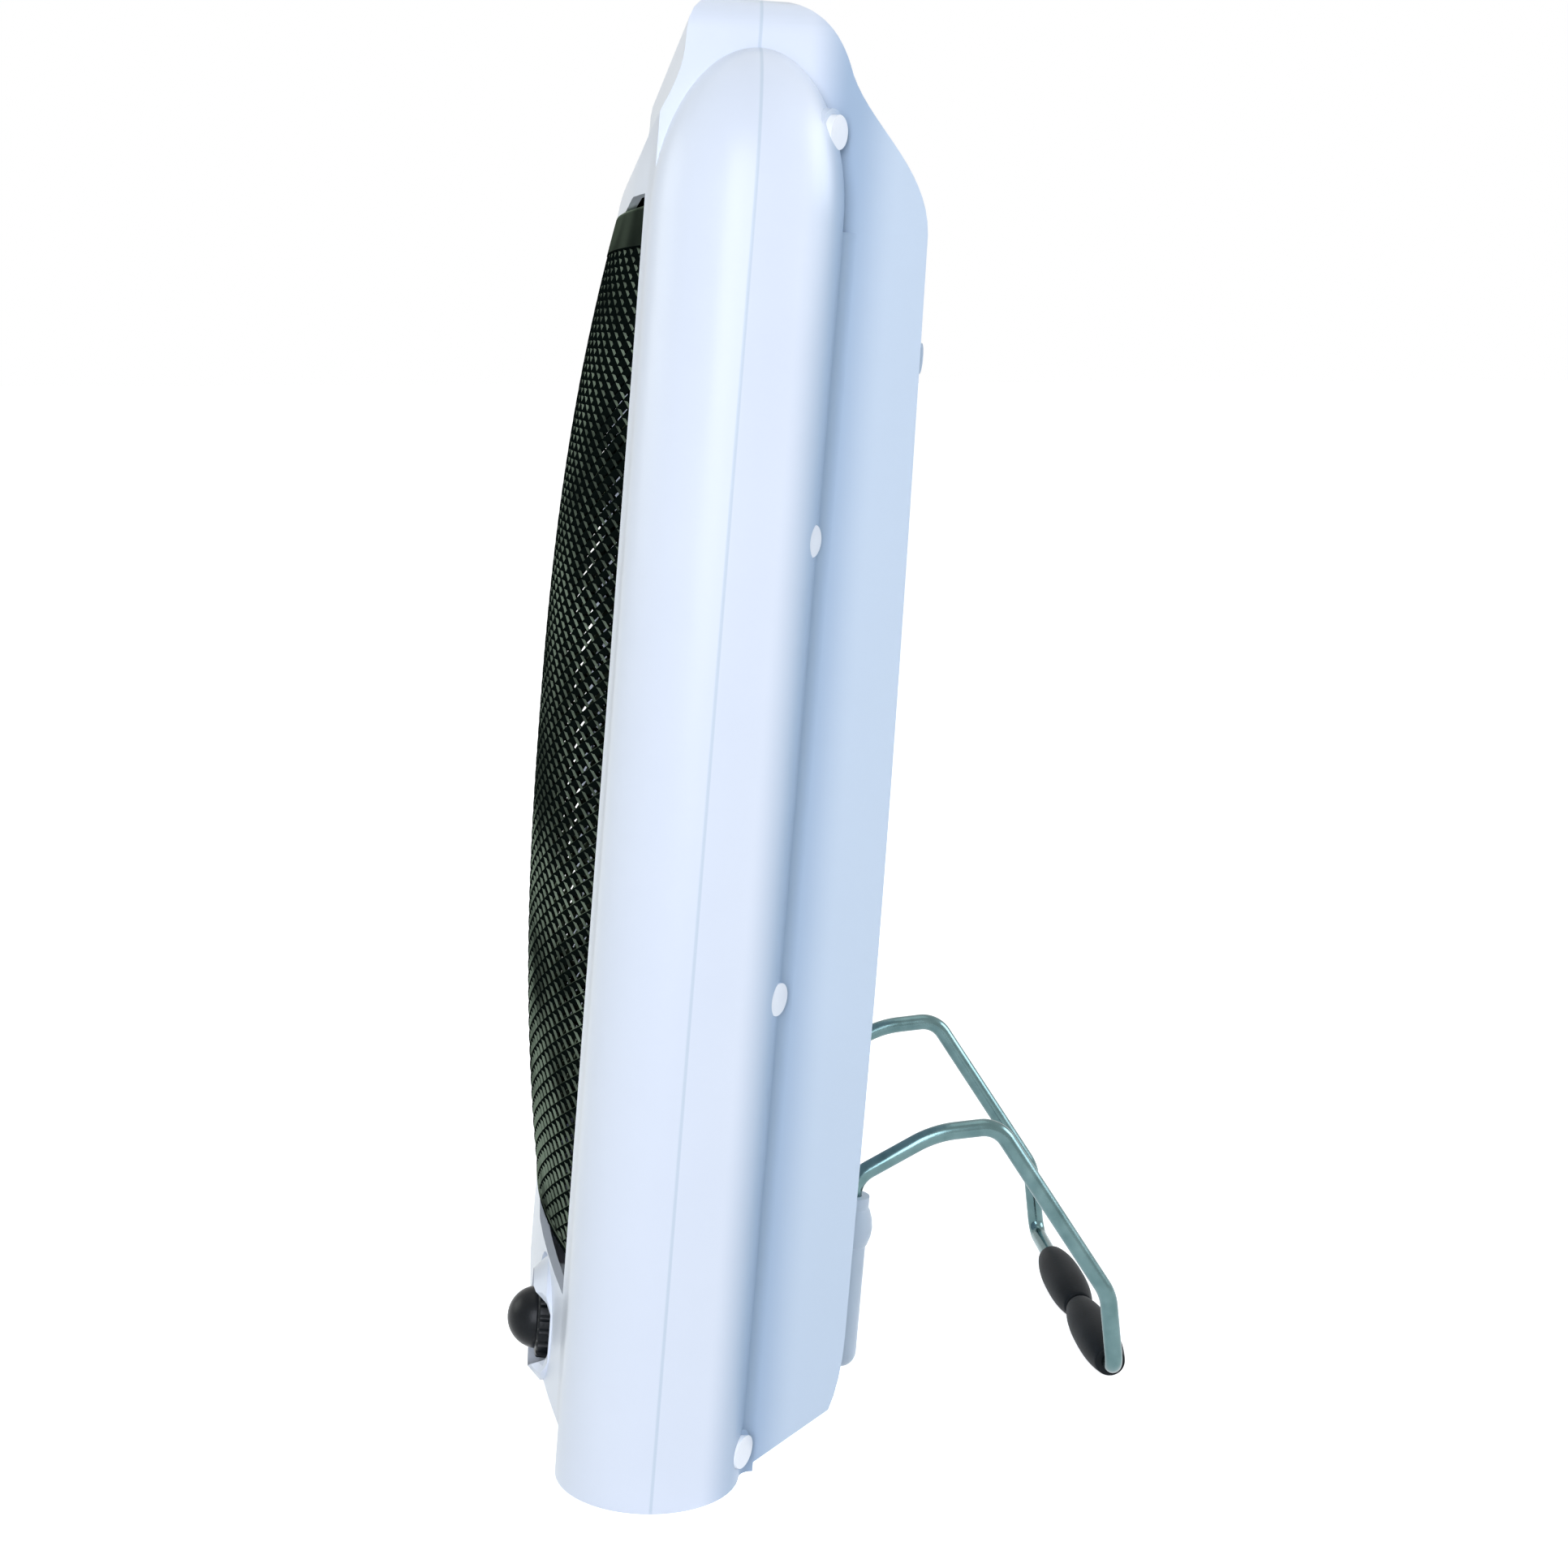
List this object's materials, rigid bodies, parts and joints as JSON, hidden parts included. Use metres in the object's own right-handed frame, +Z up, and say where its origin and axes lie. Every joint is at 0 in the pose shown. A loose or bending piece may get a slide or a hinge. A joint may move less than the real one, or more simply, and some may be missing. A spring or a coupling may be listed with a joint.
{
  "type": "quartz heater",
  "caption": "Free-standing leaning quartz heater: bulged wire mesh between rounded pillars, quartz tubes with reflector, rotary knob, tip-over switch and push-in wire stand.",
  "frame": {"origin": "centre of the bounding box on the floor plane", "axes": "+Z up, +Y from the mesh front to the back, +X to the knob's side, which is the right as seen from the front"},
  "size_m": [0.262, 0.1798, 0.3867],
  "materials": {
    "shell_white": "glossy white ABS",
    "rear_white": "glossy white ABS",
    "mesh_black": "black stove enamel",
    "reflector_sheet": "bright rolled sheet",
    "zinc_sheet": "zinc plated",
    "quartz": "milky quartz",
    "heating_wire": "oxidised",
    "ceramic": "unglazed steatite",
    "knob_black": "satin black",
    "switch_body": "matt phenolic",
    "tip_switch_red": "matt",
    "plunger_white": "natural nylon",
    "spring_steel": "bright",
    "cutout_black": "matt phenolic",
    "lead_brown": "silicone insulation",
    "lead_red": "silicone insulation",
    "lead_blue": "silicone insulation",
    "gland_white": "satin nylon",
    "zinc_wire": "bright zinc plate",
    "sleeve_rubber": "satin black",
    "cap_white": "glossy white"
  },
  "bodies": {
    "root": {"front_shell": "shell_white", "rear_shell": "rear_white", "mesh_grille": "mesh_black", "grille_frame": "mesh_black", "reflector": "reflector_sheet", "left_bracket": "zinc_sheet", "right_bracket": "zinc_sheet", "lower_quartz_tube": "quartz", "upper_quartz_tube": "quartz", "lower_heating_coil": "heating_wire", "upper_heating_coil": "heating_wire", "lower_left_cap": "ceramic", "lower_right_cap": "ceramic", "upper_left_cap": "ceramic", "upper_right_cap": "ceramic", "dial_plate": "knob_black", "rotary_switch": "switch_body", "switch_nut": "zinc_sheet", "tip_switch_housing": "tip_switch_red", "tip_switch_spring": "spring_steel", "thermal_cutout": "cutout_black", "terminal_block": "plunger_white", "switch_lead": "lead_brown", "lower_tube_lead": "lead_red", "upper_tube_lead": "lead_red", "neutral_lead": "lead_blue", "link_lead": "lead_blue", "cord_gland": "gland_white", "shell_screws": "spring_steel", "screw_caps": "cap_white", "bracket_screws": "spring_steel"},
    "knob": {"control_knob": "knob_black", "switch_shaft": "zinc_sheet"},
    "plunger": {"tip_switch_plunger": "plunger_white"},
    "stand": {"wire_stand": "zinc_wire", "right_sleeve": "sleeve_rubber", "left_sleeve": "sleeve_rubber"}
  },
  "joints": [
    {"name": "knob_turn", "type": "hinge", "parent": "root", "child": "knob", "pos_m": [0.066, -0.07629, 0.02631], "axis": [0, 0.9972, -0.075], "range_deg": [0, 120]},
    {"name": "tip_plunger", "type": "slide", "parent": "root", "child": "plunger", "axis": [0, -0.075, -0.9972], "range_m": [0, 0.004], "stiffness_N_per_m": 120, "springref_m": 0.006, "deforming": ["tip_switch_spring"]},
    {"name": "stand_pull", "type": "slide", "parent": "root", "child": "stand", "axis": [0, 0.075, 0.9972], "range_m": [0, 0.045]}
  ]
}
